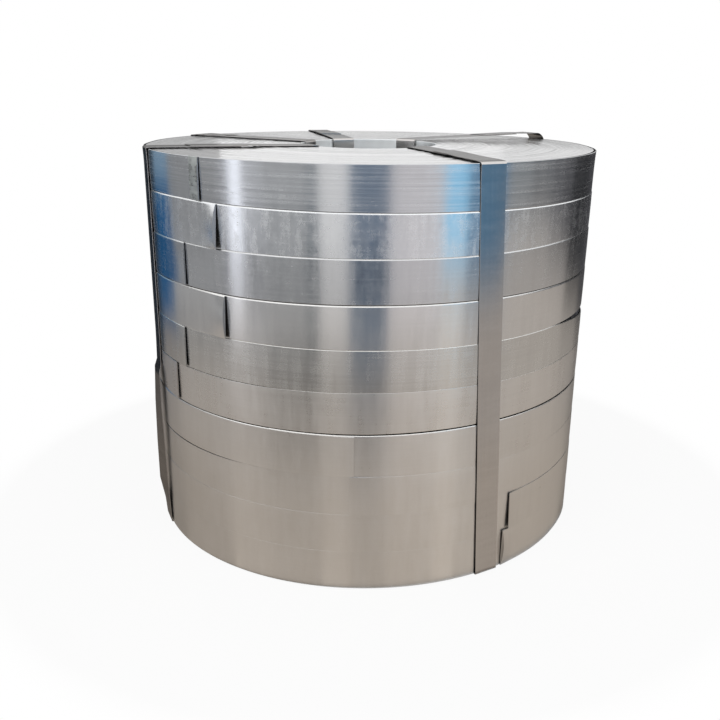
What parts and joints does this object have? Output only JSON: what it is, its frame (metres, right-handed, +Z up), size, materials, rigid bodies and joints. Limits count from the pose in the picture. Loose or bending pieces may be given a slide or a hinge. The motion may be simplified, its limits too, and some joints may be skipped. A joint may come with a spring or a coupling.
{
  "type": "strapped stack of slit steel coils",
  "caption": "Stack of slit galvanised steel strip coils standing on end with the eye to the sky, tied by flat steel straps that run through the bore.",
  "frame": {"origin": "on the floor under the stack, on the axis of the bore", "axes": "+Z up along the axis of the bore, -Y towards the viewer, +X to the viewer's right"},
  "size_m": [1.0068, 0.9997, 0.8565],
  "materials": {
    "coil_steel": "bright galvanised cold rolled strip, rolled along its length",
    "strap_steel": "flat galvanised steel strap, slightly duller than the coils"
  },
  "bodies": {
    "root": {"coil_01": "coil_steel", "coil_02": "coil_steel", "coil_03": "coil_steel", "coil_04": "coil_steel", "coil_05": "coil_steel", "coil_06": "coil_steel", "coil_07": "coil_steel", "coil_08": "coil_steel", "coil_09": "coil_steel", "coil_10": "coil_steel", "strap_front_right": "strap_steel", "strap_back_right": "strap_steel", "strap_back_centre": "strap_steel", "strap_back_left": "strap_steel", "strap_left": "strap_steel"}
  },
  "joints": []
}
